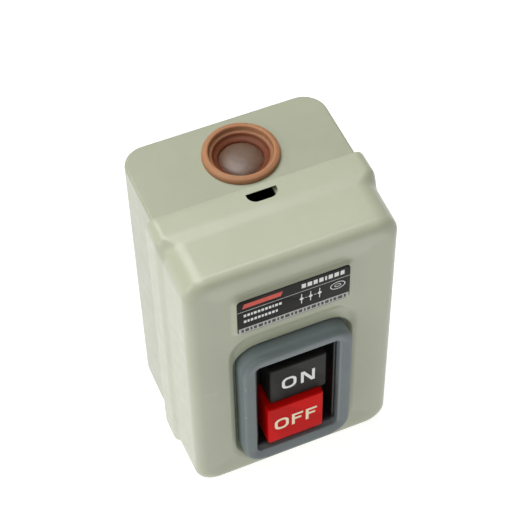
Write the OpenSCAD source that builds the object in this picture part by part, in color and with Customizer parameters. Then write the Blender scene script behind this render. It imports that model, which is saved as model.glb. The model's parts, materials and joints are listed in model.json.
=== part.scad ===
// Push-button motor protection breaker in a two-part pressed steel box.
// Frame: origin at the centre of the back face, +X right, +Z up, front towards -Y.
// "Depth" always means millimetres in front of the back face, so y = -depth.

/* [Steel box] */
// Width of the rear box
box_w = 72; // [70:0.5:76]
// Height of the rear box
box_h = 114; // [112:0.5:120]
// Outer bend radius of the rear box's upright rear edges
box_corner_r = 8.5; // [6:0.5:10]
// Depth at which the rear box ends, inside the cover
box_depth = 40; // [38:0.5:41]
// Sheet thickness of box and cover
sheet = 1.2; // [1:0.1:1.4]
// Small rounding of the folded edges round the end plates
fold_r = 1; // [0.8:0.1:1.2]

/* [Front cover] */
// How far the cover's rear lip stands out from the box's sides
lip_out_side = 2.3; // [2:0.1:3]
// How far the cover's rear lip stands out above and below the box
lip_out_end = 2.0; // [2:0.1:3]
// Depth of the cover's rear edge
lip_depth = 32.5; // [31:0.5:34]
// Depth of the cover's front face
face_depth = 63.5; // [62:0.5:65]
// How far the main shell steps in from the lip
joggle_in = 0.8; // [0.4:0.1:1]
// Rounding between the shell and the front face
face_fillet = 4; // [3:0.5:6]

/* [Bezel and buttons] */
// Width of the soft bezel frame
bezel_w = 40.5; // [40:0.5:44]
// Height of the bezel frame
bezel_h = 62.4; // [62:0.2:65]
// Depth of the bezel's front face
bezel_depth = 67.5; // [66:0.5:69]
// Width of the bezel's opening
opening_w = 31; // [29:0.5:32]
// Height of the bezel's opening
opening_h = 51.5; // [51:0.1:52]
// Width of each button
button_w = 21; // [19:0.1:21]
// Height of the ON button
on_h = 19.2; // [18.5:0.1:19.2]
// Height of the OFF button
off_h = 20.9; // [20:0.1:20.9]
// Travel of each button
travel = 3.2; // [2.8:0.1:3.2]

/* [Cable entries and mounting] */
// Radius of the cable entry holes in the box
entry_r = 10.4; // [10:0.1:11]
// Depth of the cable entries' centre
entry_depth = 17; // [15:0.5:17.5]
// How far the cable entries sit to the right of the middle
entry_x = 1.2; // [0:0.1:1.5]
// Radius of the grommet's bore
grommet_bore_r = 7.5; // [6:0.1:8]
// Spacing of the wall-mounting holes across the box
mount_dx = 48; // [47:0.5:49]
// Spacing of the wall-mounting holes up the box
mount_dz = 88; // [86:1:90]
// Radius of the wall-mounting holes
mount_hole_r = 2.6; // [2.2:0.1:2.8]

/* [Hidden] */

$fn = 64;
hull_fn = 32;
eps = 0.01;
slip = 0.3;

paint = [0.70, 0.71, 0.62];
orange_rubber = [0.72, 0.48, 0.35];
grey_rubber = [0.42, 0.47, 0.49];
black_plastic = [0.06, 0.06, 0.06];
charcoal = [0.20, 0.20, 0.19];
button_red = [0.70, 0.09, 0.07];
cream = [0.90, 0.87, 0.78];
bakelite = [0.16, 0.11, 0.08];
steel = [0.72, 0.72, 0.74];
brass = [0.78, 0.62, 0.30];
copper = [0.76, 0.45, 0.28];
fish_paper = [0.55, 0.50, 0.38];

// Cover
lip_w = box_w + 2 * lip_out_side;
lip_h = box_h + 2 * lip_out_end;
lip_r = 3;
joggle_depth = 42;
joggle_len = 3;
shell_w = lip_w - 2 * joggle_in;
shell_h = lip_h - 2 * joggle_in;
shell_r = 7;
shell_taper = 0.3;
cavity_w = shell_w - 2 * (sheet + shell_taper);
cavity_h = shell_h - 2 * (sheet + shell_taper);
slot_x = 0.4;
slot_w = 10.6;
slot_depth = 35.3;
slot_len = 4.1;
slot_r = 3.2;
notch_w = 9.6;
notch_back = 33;
notch_len = 6.1;
cover_screw_depth = 36.5;

// Bezel, its dished recess, and the label's raised pad
bezel_z = -17.6;
opening_z = -17.55;
recess_w = 47.6;
recess_h = 74.5;
recess_z = -14.25;
recess_r = 10;
recess_deep = 1.2;
window_w = opening_w + 3;
window_h = opening_h + 3;
mask_back = 56.4;
mask_front = 57.5;
collar_front = 64.4;
collar_wall = 1;
label_w = 39.6;
label_h = 17;
label_x = -0.5;
label_z = 36;
label_t = 0.3;
pad_rise = 0.5;

// Buttons and mechanism. Depths are at rest: ON pushed in, OFF standing out.
pivot_z = -18.15;
pivot_depth = 44;
on_x = 0.8;
off_x = -1.1;
on_z = -8.3;
off_z = -28.75;
arm = 10;
on_face = 65.2;
off_face = on_face + 2.2;
on_back = on_face - 16.45;
off_back = on_back + travel;
stem_len = 3.85;
wing_t = 1.6;
rest_tilt = asin(travel / 2 / arm);
mask_hole_h = (on_z + on_h / 2) - (off_z - off_h / 2) + 3 * slip;
mask_hole_z = ((on_z + on_h / 2) + (off_z - off_h / 2)) / 2;
pin_r = 2;
boss_r = 4.5;
rocker_half_w = 10.5;
pad_r = 2;

// Switch block
block_half_w = 19.5;
block_half_h = 32;
block_back = sheet + 0.4;
deck_depth = 17.9;
housing_back = 19.4;
housing_front = 56;
housing_half_h = 23;
housing_wall = 2.5;
housing_plate = 2.4;
poles = [-12, 0, 12];
strip_t = 1.2;
strip_back = deck_depth + 0.05;
strip_front = strip_back + strip_t;
contact_gap = 0.05;
pad_z = 13;
pad_t = 1.2;
bridge_back = strip_front + 2 * pad_t + contact_gap;
terminal_z = 27;
ear_x = 23;
screw_r = 1.9;
carriage_back = 26.5;

// Overload unit
overload_z = 28.5;
overload_h = 23;
overload_front = 12.4;
strap_t = 1;
earth_x = -23.6;
earth_z = 22;

// ---------- helpers ----------

// Flat rounded rectangle with true arcs
module rounded(w, h, r) {
    square([w - 2 * r, h], center = true);
    square([w, h - 2 * r], center = true);
    for (sx = [-1, 1], sz = [-1, 1])
        translate([sx * (w / 2 - r), sz * (h / 2 - r)]) circle(r);
}

// A flat outline drawn in X and Z, extruded from one depth to another
module between(d0, d1, x = 0, z = 0) {
    translate([x, -d0, z]) rotate([90, 0, 0]) linear_extrude(d1 - d0) children();
}

module slab(w, h, r, d0, d1, x = 0, z = 0) {
    between(d0, d1, x, z) rounded(w, h, r);
}

module block(w, h, d0, d1, x = 0, z = 0) {
    translate([x - w / 2, -d1, z - h / 2]) cube([w, d1 - d0, h]);
}

// A round bar along the depth
module rod(r, d0, d1, x = 0, z = 0) {
    translate([x, -d0, z]) rotate([90, 0, 0]) cylinder(r = r, h = d1 - d0);
}

// A round bar across the width, centred
module cross_rod(r, len, depth, z) {
    translate([-len / 2, -depth, z]) rotate([0, 90, 0]) cylinder(r = r, h = len);
}

// Coil spring along +Z from z = 0, as a tube swept on a helix
function helix_point(r, len, turns, t) = [r * cos(360 * turns * t), r * sin(360 * turns * t), len * t];
function ring_point(r, len, turns, t, wire, a) =
    let (c = helix_point(r, len, turns, t), out = [cos(360 * turns * t), sin(360 * turns * t), 0])
    c + wire * (cos(a) * out + sin(a) * [0, 0, 1]);
module coil(r, wire, len, turns, sides = 8, steps = 14) {
    rings = floor(turns * steps);
    span = len - 2 * wire;
    points = [for (i = [0:rings], j = [0:sides - 1])
        ring_point(r, span, turns, i / rings, wire, 360 * j / sides) + [0, 0, wire]];
    tube = [for (i = [0:rings - 1], j = [0:sides - 1])
        [i * sides + j, i * sides + (j + 1) % sides, (i + 1) * sides + (j + 1) % sides, (i + 1) * sides + j]];
    start = [for (j = [sides - 1:-1:0]) j];
    finish = [for (j = [0:sides - 1]) rings * sides + j];
    polyhedron(points, concat([start], tube, [finish]));
}

// Pan-head machine screw along the depth: the head's seat is at depth "seat"
module pan_screw(head_r, head_t, shank_r, shank_len, seat, x, z) {
    difference() {
        union() {
            rod(head_r, seat, seat + head_t, x, z);
            rod(shank_r, seat - shank_len, seat + eps, x, z);
        }
        block(0.9, 2 * head_r + 1, seat + head_t * 0.55, seat + head_t + 1, x, z);
        block(2 * head_r * 0.62, 0.9, seat + head_t * 0.55, seat + head_t + 1, x, z);
    }
}

// ---------- steel box ----------

// Plan outline of the rear box: flat back, rounded rear edges, open front
module box_plan(w, y_back, y_front, r) {
    translate([-w / 2, y_front]) square([w, y_back - y_front - r]);
    translate([-w / 2 + r, y_back - r - eps]) square([w - 2 * r, r + eps]);
    for (sx = [-1, 1]) translate([sx * (w / 2 - r), y_back - r]) circle(r);
}

module base_box() color(paint) {
    difference() {
        intersection() {
            translate([0, 0, -box_h / 2]) linear_extrude(box_h) box_plan(box_w, 0, -box_depth, box_corner_r);
            slab(box_w, box_h, fold_r, -1, box_depth + 1);
        }
        translate([0, 0, -box_h / 2 + sheet]) linear_extrude(box_h - 2 * sheet)
            box_plan(box_w - 2 * sheet, -sheet, -box_depth - 1, box_corner_r - sheet);
        for (end = [-1, 1]) translate([entry_x, -entry_depth, end * (box_h / 2 - sheet / 2)])
            cylinder(r = entry_r, h = 2 * sheet, center = true);
        for (sx = [-1, 1], sz = [-1, 1]) rod(mount_hole_r, -1, sheet + 1, sx * mount_dx / 2, sz * mount_dz / 2);
        for (sx = [-1, 1]) rod(screw_r + 0.05, -1, sheet + 1, sx * ear_x, pivot_z);
        rod(screw_r + 0.05, -1, sheet + 1, earth_x, earth_z);
        translate([0, -cover_screw_depth, -box_h / 2 - 1]) cylinder(r = 2.2, h = 3);
        translate([-notch_w / 2 + slot_x, -notch_back - notch_len, box_h / 2 - 2 * sheet])
            cube([notch_w, notch_len, 3 * sheet]);
    }
}

module shell_outer() {
    slab(lip_w, lip_h, lip_r, lip_depth, joggle_depth);
    hull() {
        slab(lip_w, lip_h, lip_r, joggle_depth - eps, joggle_depth, $fn = hull_fn);
        slab(shell_w, shell_h, shell_r, joggle_depth + joggle_len, joggle_depth + joggle_len + eps, $fn = hull_fn);
    }
    hull() {
        slab(shell_w, shell_h, shell_r, joggle_depth + joggle_len, joggle_depth + joggle_len + eps, $fn = hull_fn);
        for (a = [0:15:90]) {
            inset = shell_taper + face_fillet * (1 - cos(a));
            depth = face_depth - face_fillet * (1 - sin(a));
            slab(shell_w - 2 * inset, shell_h - 2 * inset, shell_r, depth - eps, depth, $fn = hull_fn);
        }
    }
}

module front_cover() color(paint) difference() {
    union() {
        shell_outer();
        slab(label_w + 1.6, label_h + 2, 2, face_depth - sheet / 2, face_depth + pad_rise, label_x, label_z - 0.3);
    }
    slab(lip_w - 2 * sheet, lip_h - 2 * sheet, lip_r - sheet, lip_depth - 1, joggle_depth);
    difference() {
        union() {
            slab(cavity_w, cavity_h, shell_r - sheet, joggle_depth - eps, face_depth - face_fillet);
            slab(cavity_w - face_fillet, cavity_h - face_fillet, shell_r - sheet,
                face_depth - face_fillet - eps, face_depth - sheet);
        }
        slab(recess_w + 2 * sheet, recess_h + 2 * sheet, recess_r + sheet,
            face_depth - recess_deep - sheet, face_depth, 0, recess_z);
    }
    slab(recess_w, recess_h, recess_r, face_depth - recess_deep, face_depth + 1, 0, recess_z);
    slab(window_w, window_h, 3, face_depth - 5, face_depth + 1, 0, opening_z);
    translate([slot_x, -slot_depth, lip_h / 2 - 2 * sheet]) linear_extrude(3 * sheet) intersection() {
        rounded(slot_w, 2 * slot_len, slot_r);
        translate([-slot_w, -2 * slot_len]) square([2 * slot_w, 2 * slot_len]);
    }
    translate([0, -cover_screw_depth, -lip_h / 2 - 1]) cylinder(r = 2.2, h = 3);
}

// The screw goes up through the cover's lip and the box's floor into the weld nut
module cover_screw() color(steel) difference() {
    translate([0, -cover_screw_depth, -lip_h / 2]) {
        translate([0, 0, -2.2]) cylinder(r = 3.8, h = 2.2);
        translate([0, 0, -eps]) cylinder(r = 1.95, h = 8);
    }
    translate([-0.5, -cover_screw_depth - 4, -lip_h / 2 - 3.2]) cube([1, 8, 2.2]);
}

module weld_nut() color(steel) difference() {
    translate([0, -cover_screw_depth, -box_h / 2 + sheet]) cylinder(r = 3.4, h = 3.2, $fn = 6);
    translate([0, -cover_screw_depth, -box_h / 2]) cylinder(r = 2, h = 6);
}

// ---------- cable grommets ----------

// Half section with the box wall's outer face at height 0; the membrane closes the bore's foot
module grommet() rotate_extrude() polygon([
    [0, -4.2], [grommet_bore_r, -4.2], [grommet_bore_r, -1.2], [9.3, -0.2], [10.0, 0.6], [10.1, 1.9],
    [10.5, 2.3], [11.6, 1.5], [12.9, 0.9], [13.1, 0.5], [13.1, 0], [entry_r - 0.05, 0], [entry_r - 0.05, -sheet], [12.4, -sheet], [12.4, -2.6],
    [grommet_bore_r + 1.2, -2.6], [grommet_bore_r + 1.2, -5.2], [0, -5.2]]);

module top_grommet() color(orange_rubber) translate([entry_x, -entry_depth, box_h / 2]) grommet();
module bottom_grommet() color(orange_rubber) translate([entry_x, -entry_depth, -box_h / 2]) mirror([0, 0, 1]) grommet();

// ---------- bezel and label ----------

module bezel_frame() color(grey_rubber) difference() {
    union() {
        slab(bezel_w, bezel_h, 8, face_depth - recess_deep, bezel_depth - 1.5, 0, bezel_z);
        slab(bezel_w - 1.6, bezel_h - 1.6, 7.2, bezel_depth - 1.5, bezel_depth, 0, bezel_z);
        slab(window_w - 0.3, window_h - 0.3, 2.9, face_depth - 6, face_depth - recess_deep, 0, opening_z);
        slab(window_w + 2, window_h + 2, 4, face_depth - 3.9, face_depth - 2.5, 0, opening_z);
    }
    slab(opening_w, opening_h, 2, face_depth - 7, bezel_depth + 1, 0, opening_z);
}

// Black mask clipped behind the bezel: a plate that hides the inside, and a thin collar round both buttons
module button_mask() color(black_plastic) difference() {
    union() {
        slab(38, 60, 3, mask_back, mask_front, 0, opening_z);
        slab(opening_w - 0.6, opening_h - 0.6, 1.8, mask_front - eps, collar_front, 0, opening_z);
    }
    slab(opening_w - 0.6 - 2 * collar_wall, opening_h - 0.6 - 2 * collar_wall, 1.2,
        mask_front, collar_front + 1, 0, opening_z);
    block(button_w + 8 * slip, mask_hole_h, mask_back - 1, mask_front + 1, (on_x + off_x) / 2, mask_hole_z);
}

module rating_label() color([0.2, 0.2, 0.18])
    slab(label_w, label_h, 1.5, face_depth + pad_rise, face_depth + pad_rise + label_t, label_x, label_z);

// ---------- buttons ----------

// One push button: cap, side wings that stop it behind the housing's plate, and a stem.
// The wings and stem sit at the rocker's arm (arm_z), not at the middle of the cap (z).
module push_button(face, back, h, x, z, arm_z) {
    slab(button_w, h, 0.8, back, face - 0.4, x, z);
    slab(button_w - 0.8, h - 0.8, 0.6, face - 0.4, face, x, z);
    block(button_w + 6, 8, back, back + wing_t, x, arm_z);
    block(8, 5, back - stem_len, back + eps, x, arm_z);
}

module on_button() color(charcoal) push_button(on_face, on_back, on_h, on_x, on_z, pivot_z + arm);
module off_button() color(button_red) push_button(off_face, off_back, off_h, off_x, off_z, pivot_z - arm);

letter_h = 6.4;
letter_t = 1.05;
legend_t = 0.12;

module letter_o(w) difference() {
    rounded(w, letter_h, w * 0.42);
    rounded(w - 2 * letter_t, letter_h - 2 * letter_t, w * 0.42 - letter_t + 0.2);
}

module letter_n(w) {
    for (sx = [-1, 1]) translate([sx * (w - letter_t) / 2, 0]) square([letter_t, letter_h], center = true);
    polygon([[-w / 2, letter_h / 2], [-w / 2 + letter_t * 1.25, letter_h / 2],
        [w / 2, -letter_h / 2], [w / 2 - letter_t * 1.25, -letter_h / 2]]);
}

module letter_f(w) {
    translate([-w / 2, -letter_h / 2]) square([letter_t, letter_h]);
    translate([-w / 2, letter_h / 2 - letter_t]) square([w, letter_t]);
    translate([-w / 2, -letter_t / 2 + 0.2]) square([w * 0.85, letter_t]);
}

module on_legend() color("white") between(on_face, on_face + legend_t, on_x, on_z) {
    translate([-3.5, 0]) letter_o(5.4);
    translate([3.5, 0]) letter_n(5.2);
}

module off_legend() color(cream) between(off_face, off_face + legend_t, off_x, off_z) {
    translate([-5.4, 0]) letter_o(5.3);
    translate([0.6, 0]) letter_f(4.2);
    translate([5.9, 0]) letter_f(4.2);
}

// ---------- switch block ----------

module button_housing() color(black_plastic) difference() {
    union() {
        difference() {
            block(2 * block_half_w, 2 * housing_half_h, housing_back, housing_front, 0, pivot_z);
            block(2 * (block_half_w - housing_wall), 2 * (housing_half_h - housing_wall),
                housing_back - 1, housing_front - housing_plate, 0, pivot_z);
        }
        for (sx = [-1, 1]) {
            block(block_half_w - 11, 8, 38, pivot_depth + 3.2, sx * (block_half_w + 11) / 2, pivot_z);
            block(7, 8, housing_back, housing_back + 3, sx * ear_x, pivot_z);
        }
    }
    block(button_w + 2 * slip, on_h + 2 * slip, off_back - travel - 1, housing_front + 1, on_x, on_z);
    block(button_w + 2 * slip, off_h + 2 * slip, off_back - travel - 1, housing_front + 1, off_x, off_z);
    for (sx = [-1, 1]) {
        rod(screw_r + 0.2, housing_back - 1, housing_back + 4, sx * ear_x, pivot_z);
        translate([sx * 11, -pivot_depth, pivot_z]) rotate([0, sx * 90, 0]) translate([0, 0, -1])
            cylinder(r = pin_r, h = 4);
        translate([sx * 11, -pivot_depth + 3.4, pivot_z]) rotate([0, sx * 90, 0]) translate([0, 0, -1])
            cylinder(r = 1.05, h = 5);
    }
}

module switch_base() color(bakelite) difference() {
    union() {
        block(2 * block_half_w, 2 * block_half_h, block_back, deck_depth, 0, pivot_z);
        for (end = [-1, 1]) {
            for (x = [-6, 6]) {
                block(1.6, 16, deck_depth - eps, housing_back, x, pivot_z + end * 15);
                block(1.6, 8.7, deck_depth - eps, 26, x, pivot_z + end * 27.65);
            }
            for (sx = [-1, 1]) {
                block(1.5, 23, deck_depth - eps, housing_back, sx * 18.75, pivot_z + end * 11.5);
                block(1.5, 8.7, deck_depth - eps, 26, sx * 18.75, pivot_z + end * 27.65);
            }
        }
        for (sx = [-1, 1]) block(7.5, 8, sheet, housing_back, sx * ear_x, pivot_z);
    }
    for (sx = [-1, 1]) rod(screw_r + 0.2, 0, housing_back + 1, sx * ear_x, pivot_z);
    for (x = poles) {
        block(8.6, 20, 8, deck_depth + 1, x, pivot_z);
        for (end = [-1, 1]) rod(screw_r + 0.05, 10, deck_depth + 1, x, pivot_z + end * terminal_z);
    }
}

module insulating_sheet() color(fish_paper)
    block(2 * block_half_w - 0.6, 92.4, sheet, block_back, 0, -6.2);

module block_screws() color(steel) for (sx = [-1, 1])
    pan_screw(3.5, 2.4, screw_r, 22, housing_back + 3, sx * ear_x, pivot_z);

module rocker() color(cream) difference() {
    union() {
        cross_rod(boss_r, 2 * rocker_half_w, pivot_depth, pivot_z);
        translate([0, -pivot_depth, pivot_z]) rotate([-rest_tilt, 0, 0]) {
            cube([16, 4, 2 * arm], center = true);
            for (end = [-1, 1]) translate([-6, 0, end * arm]) rotate([0, 90, 0]) cylinder(r = pad_r, h = 12);
        }
    }
    cross_rod(pin_r + 0.06, 2 * rocker_half_w + 2, pivot_depth, pivot_z);
}

module rocker_pin() color(steel) cross_rod(pin_r, 28, pivot_depth, pivot_z);

module detent_balls() color(steel) for (sx = [-1, 1])
    translate([sx * (rocker_half_w + 0.05 + 0.95), -pivot_depth + 3.4, pivot_z]) sphere(0.95);

module detent_springs() color(steel) for (sx = [-1, 1])
    translate([sx * (rocker_half_w + 2.05), -pivot_depth + 3.4, pivot_z]) rotate([0, sx * 90, 0])
        coil(0.65, 0.15, 2.3, 4, 6, 10);

module contact_carriage() color([0.25, 0.25, 0.24]) {
    block(31, 9, carriage_back, 32, 0, pivot_z);
    block(8, 9.5, 28, 31, 0, pivot_z + 4.75);
    block(8, 3, 28, 39.9, 0, pivot_z + 8);
    for (x = poles) rod(1, bridge_back - 0.7, carriage_back + eps, x, pivot_z);
}

module moving_contacts() color(copper) for (x = poles) difference() {
    union() {
        block(6.4, 30, bridge_back, bridge_back + strip_t, x, pivot_z);
        for (end = [-1, 1]) rod(2.2, bridge_back - pad_t, bridge_back + eps, x, pivot_z + end * pad_z);
    }
    rod(1.15, bridge_back - 1, bridge_back + 3, x, pivot_z);
}

module contact_springs() color(steel) for (x = poles)
    translate([x, -(bridge_back + strip_t), pivot_z]) rotate([90, 0, 0])
        coil(2.1, 0.3, carriage_back - bridge_back - strip_t, 3);

module return_springs() color(steel) for (sx = [-1, 1])
    translate([sx * 6, -deck_depth, pivot_z]) rotate([90, 0, 0]) coil(1.9, 0.25, carriage_back - deck_depth, 5);

// One row of three fixed contacts, above (end = 1) or below (end = -1) the pivot
module fixed_contacts(end) for (x = poles) difference() {
    union() {
        block(6, 20.5, strip_back, strip_front, x, pivot_z + end * (10.5 + 10.25));
        rod(2.4, strip_front - eps, strip_front + pad_t, x, pivot_z + end * pad_z);
    }
    rod(2, strip_back - 1, strip_front + 1, x, pivot_z + end * terminal_z);
}

module line_contacts() color(copper) fixed_contacts(1);
module load_contacts() color(copper) fixed_contacts(-1);

washer_t = 0.85;
line_seat = strip_front + strap_t + washer_t;
load_seat = strip_front + washer_t;

module line_screws() color(brass) for (x = poles)
    pan_screw(3.1, 2.2, screw_r, 9.5, line_seat, x, pivot_z + terminal_z);
module load_screws() color(brass) for (x = poles)
    pan_screw(3.1, 2.2, screw_r, 8.5, load_seat, x, pivot_z - terminal_z);

module washer(x, z, seat) difference() {
    rod(3.6, seat - washer_t, seat, x, z);
    rod(2.1, seat - washer_t - 1, seat + 1, x, z);
}

module terminal_washers() color(steel) for (x = poles) {
    washer(x, pivot_z + terminal_z, line_seat);
    washer(x, pivot_z - terminal_z, load_seat);
}

// ---------- overload unit ----------

module overload_tray() color(bakelite) difference() {
    block(2 * block_half_w, overload_h, block_back, overload_front, 0, overload_z);
    block(2 * block_half_w - 3.2, overload_h - 3.2, 3.6, overload_front + 1, 0, overload_z);
}

module overload_cover() color(black_plastic) difference() {
    block(2 * block_half_w, overload_h, overload_front, overload_front + 1.2, 0, overload_z);
    for (x = poles) block(5.6, 1.6, overload_front - 1, overload_front + 2, x, overload_z - 8.5);
}

module bimetal_strips() color(copper) for (x = poles) block(0.8, 18, 5, 10, x, overload_z - 0.5);

module heater_loops() color(brass) for (x = poles) difference() {
    block(3.2, 9, 4, 11, x, overload_z - 2.5);
    block(2.2, 10, 4.5, 10.5, x, overload_z - 2.5);
}

module trip_bar() color(cream) {
    block(31.5, 3, 10.6, 12, -0.75, overload_z + 6);
    for (x = poles) block(1, 3, 6, 10.6 + eps, x + 1.5, overload_z + 6);
}

// Straps from the overload unit's three outlets to the switch's line terminals
module link_straps() color(copper) for (x = poles) difference() {
    union() {
        block(5, 9.2, strip_front, strip_front + strap_t, x, pivot_z + terminal_z + 0.6);
        block(5, 1, 13.9, strip_front + strap_t, x, pivot_z + terminal_z + 5.7);
        block(5, 6, 13.9, 14.9, x, pivot_z + terminal_z + 8.2);
        block(5, 1, 11.2, 14.9, x, overload_z - 8.5);
    }
    rod(2, strip_front - 1, strip_front + strap_t + 1, x, pivot_z + terminal_z);
}

module earth_screw() color(brass) pan_screw(3.4, 2.4, screw_r, sheet + washer_t, sheet + washer_t, earth_x, earth_z);
module earth_washer() color(steel) difference() {
    rod(3.7, sheet, sheet + washer_t, earth_x, earth_z);
    rod(2.1, 0, sheet + 2, earth_x, earth_z);
}

// ---------- parts ----------

base_box();
front_cover();
cover_screw();
weld_nut();
top_grommet();
bottom_grommet();
bezel_frame();
button_mask();
rating_label();
on_button();
on_legend();
off_button();
off_legend();
button_housing();
switch_base();
insulating_sheet();
block_screws();
rocker();
rocker_pin();
detent_balls();
detent_springs();
contact_carriage();
moving_contacts();
contact_springs();
return_springs();
line_contacts();
load_contacts();
line_screws();
load_screws();
terminal_washers();
overload_tray();
overload_cover();
bimetal_strips();
heater_loops();
trip_bar();
link_straps();
earth_screw();
earth_washer();
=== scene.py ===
"""Looks of a push-button motor protection breaker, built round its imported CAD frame.

All shape numbers are millimetres in the CAD frame: x to the right, z up, and "depth" towards the
front, so y is minus the depth. Meshes are converted to metres when they are made.
"""

import json
import math

import bmesh
import bpy
import numpy as np
from mathutils import Matrix, Vector


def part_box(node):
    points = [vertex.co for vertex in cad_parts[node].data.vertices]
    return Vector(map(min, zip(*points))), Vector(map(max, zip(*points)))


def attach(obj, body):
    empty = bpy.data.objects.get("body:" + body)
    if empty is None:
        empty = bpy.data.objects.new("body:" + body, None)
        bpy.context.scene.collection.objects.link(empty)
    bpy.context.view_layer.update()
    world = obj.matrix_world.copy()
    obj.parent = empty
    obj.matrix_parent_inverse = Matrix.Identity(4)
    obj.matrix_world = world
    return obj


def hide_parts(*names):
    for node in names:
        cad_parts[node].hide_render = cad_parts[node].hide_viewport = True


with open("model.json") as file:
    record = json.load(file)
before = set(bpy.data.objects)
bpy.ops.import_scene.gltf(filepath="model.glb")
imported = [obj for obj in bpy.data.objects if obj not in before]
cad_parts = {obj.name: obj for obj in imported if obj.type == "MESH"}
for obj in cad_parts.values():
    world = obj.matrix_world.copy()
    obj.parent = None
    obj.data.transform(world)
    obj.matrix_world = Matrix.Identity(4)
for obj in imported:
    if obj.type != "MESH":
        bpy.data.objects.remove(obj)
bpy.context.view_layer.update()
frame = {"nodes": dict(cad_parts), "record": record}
NODES = frame["nodes"]
MM = 0.001


def span(node):
    """Width, height, centre and depths of a CAD node in mm: (w, h, cx, cz, back, front)."""
    low, high = (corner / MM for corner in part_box(node))
    return (high.x - low.x, high.z - low.z, (high.x + low.x) / 2, (high.z + low.z) / 2, -high.y, -low.y)


# ---------- mesh helpers ----------

ARC_STEPS = 10
SIDE_STEPS_X = 100
SIDE_STEPS_Z = 110
SHARP_ANGLE = math.radians(38)


def smooth(t):
    """Soft step from 0 to 1 as t goes from 0 to 1."""
    t = np.clip(t, 0.0, 1.0)
    return t * t * (3.0 - 2.0 * t)


def ring(w, h, r, depth, cx=0.0, cz=0.0, steps=(SIDE_STEPS_X, SIDE_STEPS_Z, ARC_STEPS)):
    """Rounded rectangle as rows of (x, depth, z), always with the same count for the same steps."""
    r = max(r, 0.02)
    steps_x, steps_z, arc = steps
    rows = []
    corners = [(1, 1, 0), (-1, 1, 90), (-1, -1, 180), (1, -1, 270)]
    for k, (sx, sz, start) in enumerate(corners):
        centre = (cx + sx * (w / 2 - r), cz + sz * (h / 2 - r))
        angles = np.radians(start + 90.0 * np.arange(arc + 1) / arc)
        rows += [(centre[0] + r * math.cos(a), centre[1] + r * math.sin(a)) for a in angles]
        next_sx, next_sz, next_start = corners[(k + 1) % 4]
        next_centre = (cx + next_sx * (w / 2 - r), cz + next_sz * (h / 2 - r))
        first = np.radians(next_start)
        end = (next_centre[0] + r * math.cos(first), next_centre[1] + r * math.sin(first))
        begin = rows[-1]
        count = steps_x if k % 2 == 0 else steps_z
        for i in range(1, count):
            share = i / count
            rows.append((begin[0] + (end[0] - begin[0]) * share, begin[1] + (end[1] - begin[1]) * share))
    flat = np.array(rows)
    return np.column_stack([flat[:, 0], np.full(len(flat), float(depth)), flat[:, 1]])


def to_metres(rows):
    rows = np.asarray(rows, float)
    return np.column_stack([rows[:, 0], -rows[:, 1], rows[:, 2]]) * MM


def make_object(name, points, faces):
    """Mesh object from points in metres, with outward normals and smooth shading between soft edges."""
    mesh = bpy.data.meshes.new(name)
    mesh.from_pydata([tuple(p) for p in points], [], faces)
    obj = bpy.data.objects.new(name, mesh)
    bpy.context.scene.collection.objects.link(obj)
    work = bmesh.new()
    work.from_mesh(mesh)
    bmesh.ops.remove_doubles(work, verts=work.verts, dist=1e-7)
    bmesh.ops.recalc_face_normals(work, faces=work.faces)
    work.to_mesh(mesh)
    work.free()
    shade(obj)
    return obj


def shade(obj):
    obj.data.shade_smooth()
    obj.data.set_sharp_from_angle(angle=SHARP_ANGLE)


def loft(name, rings, loop=False, caps=False):
    """Skin through rings of equal count. loop joins the last ring to the first; caps closes both ends."""
    count = len(rings[0])
    points = to_metres(np.vstack(rings))
    faces = []
    last = len(rings) if loop else len(rings) - 1
    for k in range(last):
        a = k * count
        b = ((k + 1) % len(rings)) * count
        faces += [(a + i, a + (i + 1) % count, b + (i + 1) % count, b + i) for i in range(count)]
    if caps:
        faces.append(tuple(range(count)))
        top = (len(rings) - 1) * count
        faces.append(tuple(range(top + count - 1, top - 1, -1)))
    return make_object(name, points, faces)


def lathe(name, profile, centre, flip=1.0, steps=96):
    """Closed profile of (radius, height) turned round a line along z through centre (x, depth, z)."""
    rings = []
    angles = 2.0 * np.pi * np.arange(steps) / steps
    for radius, height in profile:
        x = centre[0] + radius * np.cos(angles)
        depth = centre[1] + radius * np.sin(angles)
        z = np.full(steps, centre[2] + flip * height)
        rings.append(np.column_stack([x, depth, z]))
    return loft(name, rings, loop=True)


def flatten_plates(obj):
    """Flat shading on faces square to z, for big plates with holes in them."""
    for face in obj.data.polygons:
        if abs(face.normal.z) > 0.9995:
            face.use_smooth = False


def tidy_normals(obj):
    """Keeps big flat faces flat next to rounded edges."""
    modifier = obj.modifiers.new("flat_faces", "WEIGHTED_NORMAL")
    modifier.keep_sharp = True
    modifier.weight = 80


def apply_modifiers(obj):
    graph = bpy.context.evaluated_depsgraph_get()
    mesh = bpy.data.meshes.new_from_object(obj.evaluated_get(graph))
    obj.modifiers.clear()
    obj.data = mesh
    return obj


def cut(obj, *cutters):
    """Takes the cutters out of obj and removes them."""
    for cutter in cutters:
        modifier = obj.modifiers.new("cut", "BOOLEAN")
        modifier.operation = "DIFFERENCE"
        modifier.solver = "EXACT"
        modifier.object = cutter
    bpy.context.view_layer.update()
    apply_modifiers(obj)
    for cutter in cutters:
        bpy.data.objects.remove(cutter)
    shade(obj)
    return obj


def merge(name, parts):
    """One object from several, which are removed."""
    work = bmesh.new()
    for part in parts:
        work.from_mesh(part.data)
    mesh = bpy.data.meshes.new(name)
    work.to_mesh(mesh)
    work.free()
    for part in parts:
        bpy.data.objects.remove(part)
    obj = bpy.data.objects.new(name, mesh)
    bpy.context.scene.collection.objects.link(obj)
    shade(obj)
    return obj


SMALL_STEPS = (4, 4, 5)


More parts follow.
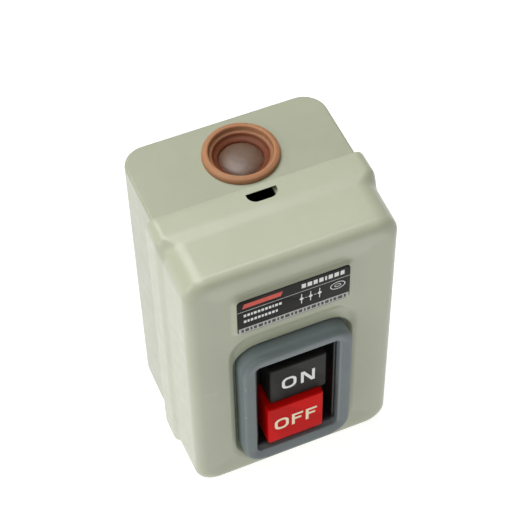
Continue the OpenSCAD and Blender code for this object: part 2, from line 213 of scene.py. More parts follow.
def soft_block(name, w, h, r, back, front, cx=0.0, cz=0.0, edge=0.3, steps=SMALL_STEPS):
    """Closed rounded block along the depth, with its front and back edges rolled over."""
    rings = []
    for angle in (90, 60, 30, 0):
        inset = edge * (1 - math.cos(math.radians(angle)))
        depth = back + edge * (1 - math.sin(math.radians(angle)))
        rings.append(ring(w - 2 * inset, h - 2 * inset, max(r - inset, 0.05), depth, cx, cz, steps))
    for angle in (0, 22, 45, 67, 90):
        inset = edge * (1 - math.cos(math.radians(angle)))
        depth = front - edge * (1 - math.sin(math.radians(angle)))
        rings.append(ring(w - 2 * inset, h - 2 * inset, max(r - inset, 0.05), depth, cx, cz, steps))
    return loft(name, rings, caps=True)


def disc(name, radius, back, front, x, z, steps=40):
    """Closed round bar along the depth."""
    angles = 2.0 * np.pi * np.arange(steps) / steps
    rows = []
    for depth in (back, front):
        rows.append(np.column_stack([x + radius * np.cos(angles), np.full(steps, depth),
                                     z + radius * np.sin(angles)]))
    return loft(name, rows, caps=True)


# ---------- material helpers ----------


class Nodes:
    """A node material with one Principled shader, built a node at a time."""

    def __init__(self, name, **sockets):
        self.material = bpy.data.materials.new(name)
        self.material.use_nodes = True
        self.tree = self.material.node_tree
        self.tree.nodes.clear()
        output = self.add("ShaderNodeOutputMaterial")
        self.shader = self.add("ShaderNodeBsdfPrincipled")
        self.link(self.shader.outputs["BSDF"], output.inputs["Surface"])
        for socket, value in sockets.items():
            self.shader.inputs[socket.replace("_", " ")].default_value = value
        self.coordinates = self.add("ShaderNodeTexCoord").outputs["Object"]

    def add(self, kind, **settings):
        node = self.tree.nodes.new(kind)
        for key, value in settings.items():
            setattr(node, key, value)
        return node

    def link(self, source, target):
        self.tree.links.new(source, target)

    def stretched(self, scale):
        """Object coordinates in metres, multiplied by scale along x, y and z."""
        node = self.add("ShaderNodeMapping")
        node.inputs["Scale"].default_value = scale
        self.link(self.coordinates, node.inputs["Vector"])
        return node.outputs["Vector"]

    def noise(self, scale, detail=3.0, rough=0.55, stretch=None):
        """Noise from 0 to 1; scale is features per metre."""
        node = self.add("ShaderNodeTexNoise")
        node.inputs["Scale"].default_value = scale
        node.inputs["Detail"].default_value = detail
        node.inputs["Roughness"].default_value = rough
        self.link(self.stretched(stretch) if stretch else self.coordinates, node.inputs["Vector"])
        return node.outputs["Fac"]

    def spread(self, value, low, high, from_low=0.3, from_high=0.7):
        """value remapped from its own range to low..high."""
        node = self.add("ShaderNodeMapRange")
        node.inputs["From Min"].default_value = from_low
        node.inputs["From Max"].default_value = from_high
        node.inputs["To Min"].default_value = low
        node.inputs["To Max"].default_value = high
        self.link(value, node.inputs["Value"])
        return node.outputs["Result"]

    def blend(self, share, first, second):
        """Colour from first to second; either is a colour or another node's output."""
        node = self.add("ShaderNodeMix", data_type="RGBA")
        self.link(share, node.inputs["Factor"])
        sockets = [s for s in node.inputs if s.type == "RGBA"]
        for colour, socket in zip((first, second), sockets):
            if isinstance(colour, bpy.types.NodeSocket):
                self.link(colour, socket)
            else:
                socket.default_value = (*colour, 1.0)
        return [s for s in node.outputs if s.type == "RGBA"][0]

    def edges(self, low=0.51, high=0.58):
        """1 on raised edges, 0 elsewhere."""
        pointiness = self.add("ShaderNodeNewGeometry").outputs["Pointiness"]
        return self.spread(pointiness, 0.0, 1.0, low, high)

    def bump(self, height, distance, strength=1.0, under=None):
        """Bump from a height; under is an earlier bump that it lies on."""
        node = self.add("ShaderNodeBump")
        node.inputs["Strength"].default_value = strength
        node.inputs["Distance"].default_value = distance
        self.link(height, node.inputs["Height"])
        if under is not None:
            self.link(under, node.inputs["Normal"])
        return node.outputs["Normal"]

    def finish(self, colour, roughness, normal=None):
        self.link(colour, self.shader.inputs["Base Color"])
        self.link(roughness, self.shader.inputs["Roughness"])
        if normal is not None:
            self.link(normal, self.shader.inputs["Normal"])
        return self.material


def srgb(red, green, blue):
    """Linear colour from 0-255 sRGB values."""
    values = []
    for v in (red / 255, green / 255, blue / 255):
        values.append(v / 12.92 if v <= 0.04045 else ((v + 0.055) / 1.055) ** 2.4)
    return tuple(values)


def scaled(colour, factor):
    return tuple(min(1.0, c * factor) for c in colour)


def plain_surface(name, base, rough, tint=0.10, grain=1400.0, bump=0.00002, blotch=60.0, edge_gain=1.25,
                  stretch=None, **sockets):
    """Moulded, coated or plated surface: blotchy colour, lighter edges, grain in gloss and relief."""
    nodes = Nodes(name, **sockets)
    cloud = nodes.spread(nodes.noise(blotch, 4.0), 0.0, 1.0)
    colour = nodes.blend(cloud, scaled(base, 1 - tint), scaled(base, 1 + tint))
    colour = nodes.blend(nodes.edges(), colour, scaled(base, edge_gain))
    fine = nodes.noise(grain, 2.0, stretch=stretch)
    roughness = nodes.spread(fine, max(rough - 0.07, 0.02), min(rough + 0.07, 1.0))
    return nodes.finish(colour, roughness, nodes.bump(fine, bump))


# ---------- materials ----------

PAINT = srgb(177, 181, 157)
BOX_SHADE = 0.85


def paint_material(name, base, worn_edges=True):
    """Stoved enamel on pressed steel: orange peel, faint press waves, slightly worn edges."""
    nodes = Nodes(name, Specular_IOR_Level=0.5, Coat_Weight=0.15, Coat_Roughness=0.12)
    cloud = nodes.spread(nodes.noise(22.0, 4.0), 0.0, 1.0)
    colour = nodes.blend(cloud, scaled(base, 0.965), scaled(base, 1.035))
    speck = nodes.spread(nodes.noise(2600.0, 1.0), 0.0, 1.0, 0.70, 0.78)
    colour = nodes.blend(speck, colour, scaled(base, 0.86))
    if worn_edges:
        colour = nodes.blend(nodes.edges(0.56, 0.66), colour, scaled(base, 1.12))
    peel = nodes.noise(950.0, 2.0)
    wave = nodes.noise(14.0, 2.0, stretch=(3.2, 2.0, 0.8))
    roughness = nodes.spread(nodes.noise(240.0, 3.0), 0.30, 0.40)
    normal = nodes.bump(wave, 0.00045, 0.6)
    normal = nodes.bump(peel, 0.000022, 0.55, under=normal)
    return nodes.finish(colour, roughness, normal)


def rubber_material(name, base, hollow_shade_colour, centre):
    """Soft rubber, darker down inside the grommet as painted shade, with a dusty bloom."""
    nodes = Nodes(name, Specular_IOR_Level=0.35, Subsurface_Weight=0.25, Subsurface_Scale=0.002)
    place = nodes.add("ShaderNodeSeparateXYZ")
    nodes.link(nodes.coordinates, place.inputs["Vector"])
    distance = nodes.add("ShaderNodeMath", operation="ABSOLUTE")
    nodes.link(place.outputs["Z"], distance.inputs[0])
    # painted shade: the colour goes dark inside the box, below the grommet's rim, where shade falls in the
    # hole
    painted_hollow_shade = nodes.spread(distance.outputs[0], 1.0, 0.0, (centre - 0.2) * MM, (centre + 0.7) * MM)
    cloud = nodes.spread(nodes.noise(130.0, 4.0), 0.0, 1.0)
    colour = nodes.blend(cloud, scaled(base, 0.93), scaled(base, 1.07))
    colour = nodes.blend(painted_hollow_shade, colour, hollow_shade_colour)
    fine = nodes.noise(1500.0, 2.0)
    roughness = nodes.spread(fine, 0.48, 0.62)
    return nodes.finish(colour, roughness, nodes.bump(fine, 0.00003))


def membrane_material():
    """Thin skin that closes the grommet, paler in the middle than at its rim."""
    nodes = Nodes("grommet_skin", Specular_IOR_Level=0.55, Subsurface_Weight=0.3, Subsurface_Scale=0.002)
    place = nodes.add("ShaderNodeMapping")
    place.inputs["Location"].default_value = (-0.0012, 0.017, 0.0)
    nodes.link(nodes.coordinates, place.inputs["Vector"])
    flat = nodes.add("ShaderNodeVectorMath", operation="MULTIPLY")
    flat.inputs[1].default_value = (1.0, 1.0, 0.0)
    nodes.link(place.outputs["Vector"], flat.inputs[0])
    reach = nodes.add("ShaderNodeVectorMath", operation="LENGTH")
    nodes.link(flat.outputs["Vector"], reach.inputs[0])
    share = nodes.spread(reach.outputs["Value"], 0.0, 1.0, 0.001, 0.0072)
    colour = nodes.blend(share, srgb(118, 101, 87), srgb(96, 62, 42))
    cloud = nodes.spread(nodes.noise(420.0, 4.0), 0.0, 1.0)
    colour = nodes.blend(cloud, colour, srgb(109, 88, 73))
    fine = nodes.noise(900.0, 2.0)
    roughness = nodes.spread(fine, 0.30, 0.44)
    return nodes.finish(colour, roughness, nodes.bump(fine, 0.00004))


def bezel_material():
    """Soft grey plastic, with painted light that makes its walls a little paler than its rounded front."""
    base = srgb(112, 121, 122)
    nodes = Nodes("bezel_plastic", Specular_IOR_Level=0.35)
    place = nodes.add("ShaderNodeSeparateXYZ")
    nodes.link(nodes.coordinates, place.inputs["Vector"])
    # painted light: the walls behind the rounded front are painted paler to lift the shade that falls on
    # them
    low = nodes.spread(place.outputs["Y"], 0.0, 1.0, -66.4 * MM, -64.6 * MM)
    cloud = nodes.spread(nodes.noise(90.0, 4.0), 0.0, 1.0)
    colour = nodes.blend(cloud, scaled(base, 0.95), scaled(base, 1.05))
    colour = nodes.blend(low, colour, srgb(128, 141, 143))
    colour = nodes.blend(nodes.edges(0.51, 0.56), colour, scaled(base, 1.22))
    fine = nodes.noise(2200.0, 2.0)
    roughness = nodes.spread(fine, 0.40, 0.52)
    return nodes.finish(colour, roughness, nodes.bump(fine, 0.000012))


MATERIALS = {
    "paint": paint_material("enamel_paint", PAINT),
    "orange_rubber": rubber_material("orange_rubber", srgb(168, 120, 84), srgb(112, 60, 34), 57.0),
    "grey_rubber": bezel_material(),
    "label_ink": plain_surface("label_plate", srgb(30, 29, 26), 0.5, 0.12, 5200.0, 0.000004, 300.0, 1.3,
                               stretch=(0.1, 1.0, 1.0), Specular_IOR_Level=0.12),
    "charcoal_plastic": plain_surface("charcoal_plastic", srgb(35, 35, 33), 0.5, 0.14, 3800.0, 0.00002,
                                      200.0, 1.9,
                                      Specular_IOR_Level=0.12),
    "red_plastic": plain_surface("red_plastic", srgb(196, 12, 9), 0.46, 0.05, 2400.0, 0.000008, 150.0, 1.25,
                                 Specular_IOR_Level=0.05),
    "white_fill": plain_surface("white_fill", srgb(236, 236, 232), 0.5, 0.06, 3000.0, 0.00003, 900.0, 1.05),
    "cream_fill": plain_surface("cream_fill", srgb(240, 228, 196), 0.5, 0.07, 3000.0, 0.00003, 900.0, 1.05),
    "black_plastic": plain_surface("black_plastic", srgb(22, 24, 24), 0.32, 0.2, 2600.0, 0.00001, 120.0,
                                   2.6,
                                   Specular_IOR_Level=0.3),
    "bakelite": plain_surface("bakelite", (0.035, 0.018, 0.011), 0.28, 0.35, 700.0, 0.00001, 260.0, 1.8),
    "fish_paper": plain_surface("fish_paper", (0.21, 0.165, 0.095), 0.8, 0.16, 1800.0, 0.00003, 420.0, 1.1),
    "zinc_steel": plain_surface("zinc_steel", (0.55, 0.56, 0.57), 0.33, 0.10, 1600.0, 0.000008, 380.0, 1.15,
                                Metallic=1.0),
    "spring_steel": plain_surface("spring_steel", (0.36, 0.36, 0.37), 0.26, 0.10, 2600.0, 0.000004, 500.0,
                                  1.1,
                                  Metallic=1.0),
    "brass": plain_surface("brass", (0.60, 0.42, 0.16), 0.27, 0.12, 1900.0, 0.000006, 420.0, 1.15,
                           Metallic=1.0),
    "copper": plain_surface("copper", (0.62, 0.29, 0.17), 0.30, 0.16, 1500.0, 0.000006, 320.0, 1.15,
                            Metallic=1.0),
    "cream_plastic": plain_surface("cream_plastic", (0.62, 0.55, 0.40), 0.45, 0.06, 1500.0, 0.00001,
                                   160.0, 1.08),
}
SLOT_OF = {part["node"]: part["material_slot"] for part in frame["record"]["subparts"]}


def dress(obj, material):
    obj.data.materials.clear()
    obj.data.materials.append(material)


def add_piece(obj, body, slot_name, *nodes, material=None):
    """Gives a new piece its material (from slot_name unless one is given) and its body, and hides the CAD
    nodes that it stands for.
    """
    dress(obj, material or MATERIALS[slot_name])
    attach(obj, body)
    if nodes:
        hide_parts(*nodes)
    return obj


for node_name, node in NODES.items():
    dress(node, MATERIALS[SLOT_OF[node_name]])

# ---------- steel box ----------

SHEET = 1.2
BOX_W, BOX_H, _, _, _, BOX_FRONT = span("base_box")
REAR_R = 8.5
FOLD_R = 0.9


def plan_ring(inset, z, back, front):
    """The box's plan outline at height z: flat back, rounded rear edges, square front corners."""
    half = BOX_W / 2 - inset
    r = REAR_R - inset
    rows = [(half, front), (half, back + inset + r)]
    for k in range(1, 13):
        a = math.radians(90.0 * k / 12)
        rows.append((half - r + r * math.cos(a), back + inset + r - r * math.sin(a)))
    mirrored = [(-x, depth) for x, depth in reversed(rows)]
    return np.array([(x, depth, z) for x, depth in rows + mirrored])


def box_solid(name, inset, half_h, front, fold):
    rings = []
    for angle in (90, 67, 45, 22, 0):
        a = math.radians(angle)
        rings.append(plan_ring(inset + fold * (1 - math.cos(a)), -half_h + fold * (1 - math.sin(a)), 0.0,
                               front))
    for angle in (0, 22, 45, 67, 90):
        a = math.radians(angle)
        rings.append(plan_ring(inset + fold * (1 - math.cos(a)), half_h - fold * (1 - math.sin(a)), 0.0,
                               front))
    return loft(name, rings, caps=True)


def upright(name, radius, z0, z1, depth, x=0.0, steps=48):
    """Closed round bar along z."""
    angles = 2.0 * np.pi * np.arange(steps) / steps
    rows = []
    for z in (z0, z1):
        rows.append(np.column_stack([x + radius * np.cos(angles), depth + radius * np.sin(angles),
                                     np.full(steps, z)]))
    return loft(name, rows, caps=True)


ENTRY_X = 1.2
ENTRY_DEPTH = 17.0
ENTRY_R = 10.4
SLOT_X = 0.4
SCREW_DEPTH = 36.5
WALL_HOLES = [(sx * 24.0, sz * 44.0, 2.6) for sx in (-1, 1) for sz in (-1, 1)]
BLOCK_HOLES = [(-23.0, -18.15, 1.95), (23.0, -18.15, 1.95), (-23.6, 22.0, 1.95)]

BOX_ENAMEL = paint_material("box_enamel", scaled(PAINT, BOX_SHADE), worn_edges=False)
box = box_solid("steel_box", 0.0, BOX_H / 2, BOX_FRONT, FOLD_R)
holes = [box_solid("inside", SHEET, BOX_H / 2 - SHEET, 48.0, 0.3)]
holes += [upright("entry", ENTRY_R, sz * 50.0, sz * 62.0, ENTRY_DEPTH, ENTRY_X) for sz in (-1, 1)]
holes += [disc("hole", r, -2.0, 4.0, x, z) for x, z, r in WALL_HOLES + BLOCK_HOLES]
holes += [upright("screw_hole", 2.2, -60.0, -50.0, SCREW_DEPTH)]
holes += [soft_block("latch_hole", 9.6, 6.0, 0.3, 33.0, 39.1, SLOT_X, 57.0, 0.1)]
cut(box, *holes)
flatten_plates(box)
tidy_normals(box)
add_piece(box, "enclosure", "paint", "base_box", material=BOX_ENAMEL)

# ---------- front cover ----------

LIP_W, LIP_H, _, _, LIP_BACK, _ = span("front_cover")
LIP_R = 3.6
SHELL_R = 7.5
JOGGLE_IN = 0.8
JOGGLE_START = 40.4
JOGGLE_END = 46.0
FACE = 63.5
TAPER = 0.3
FRONT_R = 3.8
FACE_SAG = 0.8
SAG_REACH = 10.0
BEZEL_W, BEZEL_H, _, BEZEL_Z, _, BEZEL_FRONT = span("bezel_frame")
OPEN_W = 31.0
OPEN_H = 51.5
OPEN_Z = -17.55
DISH_W = 47.6
DISH_H = 74.5
DISH_Z = -14.25
DISH_R = 10.0
LABEL_W, LABEL_H, LABEL_X, LABEL_Z, LABEL_BACK, LABEL_FRONT = span("rating_label")


def rect_distance(x, z, w, h, r, cz):
    """Distance outside a rounded rectangle centred on x = 0; negative inside it."""
    qx = np.abs(x) - (w / 2 - r)
    qz = np.abs(z - cz) - (h / 2 - r)
    outside = np.hypot(np.maximum(qx, 0.0), np.maximum(qz, 0.0))
    return outside + np.minimum(np.maximum(qx, qz), 0.0) - r


def face_depth(x, z):
    """Depth of the cover's pressed front: soft dish round the bezel and a raised pad for the label."""
    rim = rect_distance(x, z, LIP_W - 2 * FRONT_R, LIP_H - 2 * FRONT_R, SHELL_R - 1.5, 0.0)
    depth = FACE - FACE_SAG * smooth((-rim - 0.8) / SAG_REACH)
    dish = rect_distance(x, z, DISH_W, DISH_H, DISH_R, DISH_Z)
    depth -= 0.9 * smooth(-dish / 3.2)
    gap = rect_distance(x, z, BEZEL_W, BEZEL_H, 8.0, BEZEL_Z)
    depth -= 2.3 * smooth(1.0 - gap / 1.9)
    pad = rect_distance(x - LABEL_X, z, LABEL_W + 3.6, LABEL_H + 4.2, 3.2, LABEL_Z - 0.5)
    depth += (LABEL_BACK - FACE + FACE_SAG) * smooth(-pad / 1.8)
    return depth


def lip_ring(inset, depth, r):
    return ring(LIP_W - 2 * inset, LIP_H - 2 * inset, r, depth)


def joggle(depth):
    """Inset and corner radius of the cover's side walls at a depth."""
    share = float(smooth((depth - JOGGLE_START) / (JOGGLE_END - JOGGLE_START)))
    slope = TAPER * max(0.0, (depth - JOGGLE_END) / (FACE - JOGGLE_END))
    return JOGGLE_IN * share + slope, LIP_R + (SHELL_R - LIP_R) * share


def side_rings(thickness, depths):
    rings = []
    for depth in depths:
        inset, r = joggle(depth)
        rings.append(lip_ring(inset + thickness, depth, r - thickness))
    return rings


def face_rings(first, count, thickness):
    """Rings across the front, from the outline `first` in to the window in the dish."""
    last = ring(OPEN_W + 3.0, OPEN_H + 3.0, 3.0, FACE, 0.0, OPEN_Z)
    rings = []
    for k in range(count + 1):
        rows = first + (last - first) * (k / count)
        rows[:, 1] = face_depth(rows[:, 0], rows[:, 2]) - thickness
        rings.append(rows)
    return rings


def cover_rings():
    rings = [lip_ring(0.25, LIP_BACK, LIP_R - 0.25), lip_ring(0.06, LIP_BACK + 0.08, LIP_R - 0.06)]
    rings += side_rings(0.0, [LIP_BACK + 0.3, 34.5, 37.5, 39.8])
    rings += side_rings(0.0, list(np.linspace(JOGGLE_START, JOGGLE_END, 9)))
    rings += side_rings(0.0, [46.5, 50.0, 54.0, 57.5])
    base_inset, base_r = joggle(FACE - FRONT_R)
    for angle in np.linspace(0, 90, 13):
        a = math.radians(angle)
        inset = base_inset + FRONT_R * (1 - math.cos(a))
        rings.append(lip_ring(inset, FACE - FRONT_R * (1 - math.sin(a)),
                              base_r - 0.45 * (inset - base_inset)))
    rings += face_rings(rings[-1].copy(), 112, 0.0)[1:]
    inner = face_rings(lip_ring(base_inset + FRONT_R + 0.6, FACE, base_r - 2.4), 26, SHEET)
    rings += inner[::-1]
    for angle in (67, 45, 22, 0):
        a = math.radians(angle)
        inset = base_inset + SHEET + (FRONT_R - SHEET) * (1 - math.cos(a))
        rings.append(lip_ring(inset, FACE - SHEET - (FRONT_R - SHEET) * (1 - math.sin(a)), base_r - 2.0))
    rings += side_rings(SHEET, [54.0, 46.0, 44.0, 42.0, 40.0, 34.5, LIP_BACK + 0.3])
    rings.append(lip_ring(SHEET - 0.25, LIP_BACK, LIP_R - SHEET + 0.25))
    return rings


SLOT_SPLAY = 1.15
SLOT_UNDERCUT = 1.3
SLOT_BOTTOM = 57.2
SLOT_TOP = 61.5


def slot_cutter():
    """D-shaped latch slot in the cover's top lip, straight at its rear and wider below the skin."""
    half_w, length, r, rear = 5.3, 4.1, 3.2, 35.3
    rows = [(half_w, rear), (half_w, rear + length - r)]
    rows += [(half_w - r + r * math.cos(math.radians(a)), rear + length - r + r * math.sin(math.radians(a)))
             for a in range(10, 91, 10)]
    rows += [(-x, depth) for x, depth in reversed(rows)]
    splayed = [(x * SLOT_SPLAY, depth - SLOT_UNDERCUT if depth == rear else depth) for x, depth in rows]
    levels = ((splayed, SLOT_BOTTOM), (rows, LIP_H / 2 - 0.05), (rows, SLOT_TOP))
    rings = [np.array([(x + SLOT_X, depth, z) for x, depth in outline]) for outline, z in levels]
    return loft("slot_cutter", rings, caps=True)


cover = loft("pressed_cover", cover_rings(), loop=True)
cut(cover, slot_cutter(), upright("screw_cut", 2.2, -62.0, -55.0, SCREW_DEPTH))
add_piece(cover, "enclosure", "paint", "front_cover")

# ---------- cable grommets ----------

GROMMET_PROFILE = [
    (13.1, 0.03), (13.1, 0.9), (13.0, 1.35), (12.8, 1.7), (12.5, 1.95), (12.25, 2.0), (12.0, 2.18),
    (11.7, 2.28),
    (11.3, 2.28), (11.0, 2.15), (10.85, 1.9), (10.78, 1.4), (10.72, 0.8), (10.62, 0.42), (10.3, 0.3),
    (9.75, 0.22),
    (9.5, -0.1), (9.35, -0.6), (9.0, -1.0), (8.4, -1.3), (7.9, -1.6), (7.65, -2.0), (7.55, -2.6),
    (7.55, -5.0),
    (8.7, -5.2), (8.7, -2.7), (12.4, -2.6), (12.4, -1.25), (10.35, -1.2), (10.35, 0.03),
]
SKIN_PROFILE = [(7.65, -2.6), (7.0, -1.9), (6.0, -1.35), (4.6, -0.95), (2.6, -0.7), (0.9, -0.62),
                (0.02, -0.6),
                (0.02, -1.3), (2.6, -1.4), (4.6, -1.65), (6.0, -2.1), (7.0, -2.7), (7.65, -3.3)]
SKIN = membrane_material()

for side, end in (("top", 1.0), ("bottom", -1.0)):
    middle = (ENTRY_X, ENTRY_DEPTH, end * BOX_H / 2)
    collar = lathe(side + "_grommet_ring", GROMMET_PROFILE, middle, end)
    add_piece(collar, "enclosure", "orange_rubber", side + "_grommet")
    skin = lathe(side + "_grommet_skin", SKIN_PROFILE, middle, end)
    add_piece(skin, "enclosure", "orange_rubber", material=SKIN)

# ---------- bezel and black collar ----------


def bezel_rings():
    def outer(inset, depth):
        return ring(BEZEL_W - 2 * inset, BEZEL_H - 2 * inset, 8.0 - inset * 0.6, depth, 0.0, BEZEL_Z)

    def inner(inset, depth):
        return ring(OPEN_W + 2 * inset, OPEN_H + 2 * inset, 2.0 + inset, depth, 0.0, OPEN_Z)

    shoulder_in, shoulder_up = 1.4, 1.4
    rings = [outer(0.0, 59.7), outer(0.0, 63.0), outer(0.05, BEZEL_FRONT - shoulder_up - 0.6)]
    for angle in np.linspace(0, 90, 10):
        a = math.radians(angle)
        rings.append(outer(0.08 + shoulder_in * (1 - math.cos(a)),
                           BEZEL_FRONT - shoulder_up * (1 - math.sin(a))))
    begin, end = rings[-1], inner(0.5, BEZEL_FRONT - 0.75)
    for share in (0.12, 0.25, 0.4, 0.55, 0.7, 0.85, 1.0):
        rows = begin + (end - begin) * share
        rows[:, 1] = BEZEL_FRONT - 0.75 * share ** 1.4
        rings.append(rows)
    for angle in (30, 60, 90):
        a = math.radians(angle)
        rings.append(inner(0.5 - 0.5 * math.sin(a), BEZEL_FRONT - 0.75 - 0.5 * (1 - math.cos(a))))
    rings += [inner(0.0, 62.0), inner(0.0, 57.6), inner(1.3, 57.6), inner(1.3, 61.0)]
    return rings


bezel = loft("bezel_ring", bezel_rings(), loop=True)
add_piece(bezel, "enclosure", "grey_rubber", "bezel_frame")

MASK_W, MASK_H, _, _, MASK_BACK, COLLAR_FRONT = span("button_mask")
BUTTON_W = 21.0
PIVOT_Z = -18.15
ARM = 10.0
MASK_HOLE = (23.4, 41.4)
MASK_HOLE_X = -0.15
MASK_HOLE_Z = -18.95
COLLAR_GAP = 0.3
COLLAR_WALL = 1.0
PLATE_FRONT = 57.5


def mask_rings():
    outer_w, outer_h = OPEN_W - 2 * COLLAR_GAP, OPEN_H - 2 * COLLAR_GAP
    steps = (24, 24, 8)

    def collar(inset, depth, r):
        return ring(outer_w - 2 * inset, outer_h - 2 * inset, r, depth, 0.0, OPEN_Z, steps)

    rings = [ring(MASK_W, MASK_H, 3.0, MASK_BACK, 0.0, OPEN_Z, steps),
             ring(MASK_W, MASK_H, 3.0, PLATE_FRONT, 0.0, OPEN_Z, steps),
             collar(0.0, PLATE_FRONT, 1.8), collar(0.0, COLLAR_FRONT - 0.4, 1.8),
             collar(0.12, COLLAR_FRONT - 0.12, 1.7),
             collar(0.4, COLLAR_FRONT, 1.5), collar(0.6, COLLAR_FRONT, 1.4),
             collar(0.88, COLLAR_FRONT - 0.12, 1.25), collar(COLLAR_WALL, COLLAR_FRONT - 0.4, 1.2),
             collar(COLLAR_WALL, PLATE_FRONT + 0.5, 1.2), collar(COLLAR_WALL + 0.5, PLATE_FRONT, 1.0)]
    rings += [ring(*MASK_HOLE, 0.3, depth, MASK_HOLE_X, MASK_HOLE_Z, steps) for depth in (PLATE_FRONT,
                                                                                          MASK_BACK)]
    return rings


mask = loft("black_collar", mask_rings(), loop=True)
add_piece(mask, "enclosure", "black_plastic", "button_mask")

# ---------- buttons ----------


STEM_LEN = 3.85
WING_T = 1.6


def button(name, node, body, slot_name, arm_z):
    """Cap with rolled edges, and its wings and stem at the rocker's arm (arm_z)."""
    wing_w, cap_h, cx, cz, back, front = span(node)
    cap_back = back + STEM_LEN
    rings = [ring(BUTTON_W, cap_h, 0.7, cap_back, cx, cz, SMALL_STEPS)]
    edge = 0.6
    for angle in (0, 18, 36, 54, 72, 90):
        a = math.radians(angle)
        inset = edge * (1 - math.cos(a))
        rings.append(ring(BUTTON_W - 2 * inset, cap_h - 2 * inset, 0.75, front - edge * (1 - math.sin(a)),
                          cx, cz, SMALL_STEPS))
    cap = loft(name, rings, caps=True)
    wings = soft_block("wings", wing_w, 8.0, 0.5, cap_back + 0.02, cap_back + WING_T, cx, arm_z, 0.2)
    stem = soft_block("stem", 8.0, 5.0, 0.5, back, cap_back + 1.0, cx, arm_z, 0.25)
    whole = merge(name, [cap, wings, stem])
    tidy_normals(whole)
    return add_piece(whole, body, slot_name, node)


button("on_cap", "on_button", "on_push", "charcoal_plastic", PIVOT_Z + ARM)
button("off_cap", "off_button", "off_push", "red_plastic", PIVOT_Z - ARM)

# ---------- label ----------

PRINT_BACK = LABEL_FRONT - 0.01
PRINT_FRONT = LABEL_FRONT + 0.012
label_rings = [ring(LABEL_W - 2 * i, LABEL_H - 2 * i, 1.5, d, LABEL_X, LABEL_Z, (6, 4, 6))
               for i, d in ((0.0, LABEL_BACK), (0.0, LABEL_FRONT - 0.06), (0.06, LABEL_FRONT))]
label = loft("label_plate", label_rings, caps=True)
add_piece(label, "enclosure", "label_ink", "rating_label")


def flat_shape(points):
    """Thin print of an outline (x, z), counted from the label's middle."""
    rows = [(x + LABEL_X, z + LABEL_Z) for x, z in points]
    rings = [np.array([(x, depth, z) for x, z in rows]) for depth in (PRINT_BACK, PRINT_FRONT)]
    return loft("print", rings, caps=True)


def bar(x, z, w, h, slant=0.0):
    return flat_shape([(x - w / 2 - slant, z - h / 2), (x + w / 2 - slant, z - h / 2),
                       (x + w / 2 + slant, z + h / 2), (x - w / 2 + slant, z + h / 2)])


def hoop(x, z, rx, rz, t):
    """Oval line of thickness t as short bars, so that no face has a hole."""
    parts = []
    steps = 28
    for k in range(steps):
        a0, a1 = (2 * math.pi * (k + j) / steps for j in (0, 1))
        parts.append(flat_shape([(x + rx * math.cos(a0), z + rz * math.sin(a0)),
                                 (x + rx * math.cos(a1), z + rz * math.sin(a1)),
                                 (x + (rx - t) * math.cos(a1), z + (rz - t) * math.sin(a1)),
                                 (x + (rx - t) * math.cos(a0), z + (rz - t) * math.sin(a0))]))
    return parts


def dashes(x0, x1, z, h, widths, gap):
    """A row of short bars from x0 to x1, whose widths repeat; it stands for a line of print."""
    parts = []
    x = x0
    k = 0
    while x + widths[k % len(widths)] <= x1:
        w = widths[k % len(widths)]
        parts.append(bar(x + w / 2, z, w, h))
        x += w + gap
        k += 1
    return parts


def contact_symbol(x, z):
    """Plain contact mark: an upright line with a small diamond."""
    return [bar(x, z + 1.7, 0.3, 1.6), bar(x, z - 1.7, 0.3, 1.6),
            flat_shape([(x, z + 1.0), (x + 0.8, z), (x, z - 1.0), (x - 0.8, z)])]


STRIP_H = 2.7
strip_z = -LABEL_H / 2 + STRIP_H / 2 + 0.25
silver = [bar(0.0, strip_z, LABEL_W - 0.7, STRIP_H), bar(0.0, 3.25, LABEL_W - 0.1, 0.26)]
white = dashes(2.6, 18.2, 5.9, 2.1, (1.5, 1.6, 1.4, 1.5, 0.7), 0.55)
white += dashes(-17.6, -3.6, 0.9, 1.25, (0.9, 0.9, 0.55, 1.0, 0.9, 0.9), 0.38)
white += dashes(-17.6, -5.6, -2.2, 1.25, (0.9, 0.7, 0.9, 0.9), 0.38)
for symbol_x in (2.6, 5.8, 9.0):
    white += contact_symbol(symbol_x, -0.6)
white += [bar(symbol_x, -0.6, 0.9, 0.22) for symbol_x in (4.2, 7.4)]
white += hoop(15.4, 0.0, 2.7, 1.9, 0.32)
white += hoop(15.4, 0.0, 1.2, 0.8, 0.25)
red = [bar(-11.0, 5.9, 13.4, 2.2, 0.35)]
ink = dashes(-18.6, 18.6, strip_z, 1.5, (0.9, 1.3, 0.7, 1.1, 1.6, 0.8), 0.5)
for row in ink:
    row.data.transform(Matrix.Translation((0.0, -0.012 * MM, 0.0)))

PRINTS = {
    "label_silver": (silver, plain_surface("label_silver", srgb(176, 176, 172), 0.35, 0.1, 3000.0,
                                           0.000003, 700.0,
                                           1.05)),
    "label_white": (white, plain_surface("label_white", srgb(226, 226, 222), 0.45, 0.08, 3000.0, 0.000003,
                                         900.0,
                                         1.05)),
    "label_red": (red, plain_surface("label_red", srgb(206, 62, 38), 0.45, 0.1, 3000.0, 0.000003, 900.0,
                                     1.05)),
    "label_dark": (ink, plain_surface("label_dark", srgb(50, 48, 44), 0.45, 0.12, 3000.0, 0.000003, 900.0,
                                      1.05)),
}
for print_name, (shapes, print_material) in PRINTS.items():
    add_piece(merge(print_name, shapes), "enclosure", "label_ink", material=print_material)

# ---------- studio ----------

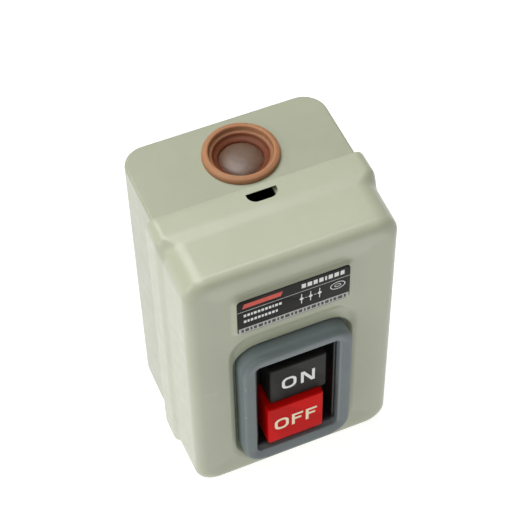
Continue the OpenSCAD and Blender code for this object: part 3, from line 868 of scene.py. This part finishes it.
FLOOR_Z = -62.0
floor_mesh = bpy.data.meshes.new("studio_floor")
FLOOR_HALF = 3.0
floor_mesh.from_pydata([(-FLOOR_HALF, -FLOOR_HALF, FLOOR_Z * MM), (FLOOR_HALF, -FLOOR_HALF, FLOOR_Z * MM),
                        (FLOOR_HALF, FLOOR_HALF, FLOOR_Z * MM), (-FLOOR_HALF, FLOOR_HALF, FLOOR_Z * MM)],
                       [], [(0, 1, 2, 3)])
floor = bpy.data.objects.new("studio_floor", floor_mesh)
bpy.context.scene.collection.objects.link(floor)
floor_nodes = Nodes("studio_white", Specular_IOR_Level=0.1, Emission_Color=(1.0, 1.0, 1.0, 1.0),
                    Emission_Strength=0.85)
floor_tone = floor_nodes.blend(floor_nodes.spread(floor_nodes.noise(6.0), 0.0, 1.0), (0.36, 0.36, 0.36),
                               (0.38, 0.38, 0.38))
dress(floor, floor_nodes.finish(floor_tone, floor_nodes.spread(floor_nodes.noise(90.0), 0.85, 0.95)))


def softbox(name, place, size, power, target=(0.0, -0.035, 0.0)):
    data = bpy.data.lights.new(name, "AREA")
    data.shape = "RECTANGLE"
    data.size, data.size_y = size
    data.energy = power
    lamp = bpy.data.objects.new(name, data)
    lamp.location = place
    lamp.rotation_mode = "QUATERNION"
    lamp.rotation_quaternion = (Vector(target) - Vector(place)).to_track_quat("-Z", "Y")
    bpy.context.scene.collection.objects.link(lamp)
    return lamp


softbox("overhead_softbox", (-0.20, 0.30, 1.10), (0.9, 0.9), 12.2)
softbox("front_softbox", (-0.10, -0.42, 1.05), (0.5, 0.5), 1.9)
softbox("left_softbox", (-1.10, -0.18, 0.50), (0.7, 0.9), 4.5)

world = bpy.data.worlds.new("studio_world")
world.use_nodes = True
background = world.node_tree.nodes["Background"]
background.inputs["Color"].default_value = (1.0, 1.0, 1.0, 1.0)
background.inputs["Strength"].default_value = 0.13
bpy.context.scene.world = world
bpy.context.scene.view_settings.view_transform = "Standard"
bpy.context.scene.view_settings.look = "None"

# ---------- camera ----------

CAMERA_PLACE = (-0.12922, -0.35432, 0.45889)
CAMERA_AZIMUTH = math.radians(-22.0)
CAMERA_ELEVATION = math.radians(51.70)
CAMERA_ROLL = math.radians(1.33)

camera_data = bpy.data.cameras.new("camera")
camera_data.sensor_width = 36.0
camera_data.lens = 113.72
camera_data.clip_start = 0.01
camera_data.clip_end = 50.0
camera = bpy.data.objects.new("camera", camera_data)
bpy.context.scene.collection.objects.link(camera)
backward = Vector((math.sin(CAMERA_AZIMUTH) * math.cos(CAMERA_ELEVATION),
                   -math.cos(CAMERA_AZIMUTH) * math.cos(CAMERA_ELEVATION), math.sin(CAMERA_ELEVATION)))
level_right = Vector((math.cos(CAMERA_AZIMUTH), math.sin(CAMERA_AZIMUTH), 0.0))
level_up = backward.cross(level_right)
rolled_right = math.cos(CAMERA_ROLL) * level_right - math.sin(CAMERA_ROLL) * level_up
rolled_up = math.sin(CAMERA_ROLL) * level_right + math.cos(CAMERA_ROLL) * level_up
turn = Matrix((rolled_right, rolled_up, backward)).transposed()
camera.matrix_world = Matrix.Translation(CAMERA_PLACE) @ turn.to_4x4()
bpy.context.scene.camera = camera

bpy.context.view_layer.update()
